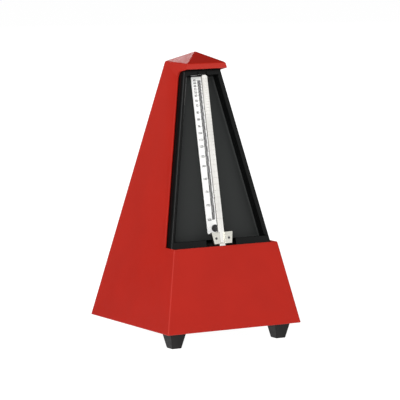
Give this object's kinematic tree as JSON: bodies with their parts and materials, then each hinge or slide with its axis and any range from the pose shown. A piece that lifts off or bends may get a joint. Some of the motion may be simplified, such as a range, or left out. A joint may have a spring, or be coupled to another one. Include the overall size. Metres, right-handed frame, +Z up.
{
  "type": "metronome",
  "caption": "Pyramid-shaped wind-up metronome with a tapered plastic case, an open front with a tempo scale, an inverted pendulum with a sliding weight, and a side winding key.",
  "frame": {"origin": "on the table under the middle of the case", "axes": "+Z up, -Y is the front with the pendulum, +X is the side with the winding key"},
  "size_m": [0.131, 0.119, 0.22],
  "materials": {
    "case_red": "satin-gloss moulded plastic",
    "tray_plastic": "fine satin moulded plastic",
    "black_plastic": "satin moulded plastic",
    "foot_plastic": "matt moulded plastic",
    "scale_metal": "bright printed aluminium",
    "rod_steel": "bright rolled strip",
    "nickel": "nickel plated",
    "steel": "bright turned steel",
    "spring_steel": "blued spring steel",
    "brass": "brushed clock brass",
    "iron": "dark oxidised iron and steel"
  },
  "bodies": {
    "case": {"casing_shell": "case_red", "base_plate": "black_plastic", "foot_front_left": "foot_plastic", "foot_front_right": "foot_plastic", "foot_rear": "foot_plastic", "foot_screws": "steel", "base_screws": "steel", "face_plate": "tray_plastic", "scale_plate": "scale_metal", "scale_screw": "iron", "rod_catch": "tray_plastic", "movement_plate_left": "brass", "movement_plate_right": "brass", "frame_pillars": "brass", "pillar_screws": "steel", "movement_screws": "steel", "verge_front_bridge": "brass", "verge_rear_cock": "brass", "bridge_screws": "steel", "escape_cock": "brass", "cock_spacers": "brass", "cock_screws": "steel", "click_screw": "steel", "click_spring": "spring_steel", "click_spring_screw": "steel"},
    "pendulum": {"pendulum_rod": "rod_steel", "rod_hub": "brass", "hub_screws": "steel", "counterweight": "iron", "counterweight_rivet": "steel", "verge_arbor": "steel", "pallet_front": "spring_steel", "pallet_rear": "spring_steel"},
    "sliding_weight": {"weight_body": "nickel", "weight_spring": "spring_steel", "weight_rivets": "iron"},
    "winding_shaft": {"winding_key": "black_plastic", "barrel_arbor": "steel", "ratchet_wheel": "steel"},
    "going_barrel": {"barrel_drum": "brass", "barrel_cover": "brass", "mainspring": "spring_steel"},
    "second_shaft": {"second_arbor": "steel", "second_pinion": "steel", "second_wheel": "brass"},
    "escape_shaft": {"escape_arbor": "steel", "escape_pinion": "steel", "crown_wheel": "brass"},
    "click": {"click": "steel"}
  },
  "joints": [
    {"name": "pendulum_swing", "type": "hinge", "parent": "case", "child": "pendulum", "pos_m": [0, -0.02787, 0.06487], "axis": [0, 0.9781, -0.2082], "range_deg": [-25, 25]},
    {"name": "weight_slide", "type": "slide", "parent": "pendulum", "child": "sliding_weight", "axis": [0, 0.2082, 0.9781], "range_m": [0, 0.1185]},
    {"name": "key_turn", "type": "hinge", "parent": "case", "child": "winding_shaft", "pos_m": [0, 0.0104, 0.04045], "axis": [1, 0, 0], "continuous": true},
    {"name": "barrel_turn", "type": "hinge", "parent": "case", "child": "going_barrel", "pos_m": [0, 0.0104, 0.04045], "axis": [1, 0, 0], "continuous": true},
    {"name": "second_turn", "type": "hinge", "parent": "case", "child": "second_shaft", "pos_m": [0, -0.00933, 0.04763], "axis": [1, 0, 0], "continuous": true},
    {"name": "escape_turn", "type": "hinge", "parent": "case", "child": "escape_shaft", "pos_m": [0, -0.01808, 0.06278], "axis": [1, 0, 0], "continuous": true},
    {"name": "click_lift", "type": "hinge", "parent": "case", "child": "click", "pos_m": [0, 0.00823, 0.05276], "axis": [1, 0, 0], "range_deg": [0, 12], "stiffness_Nm_per_rad": 0.002, "springref_deg": -11.46, "deforming": ["click_spring"]}
  ],
  "couplings": [
    {"joint": "second_turn", "follows": "barrel_turn", "ratio": -6},
    {"joint": "escape_turn", "follows": "barrel_turn", "ratio": 36}
  ]
}
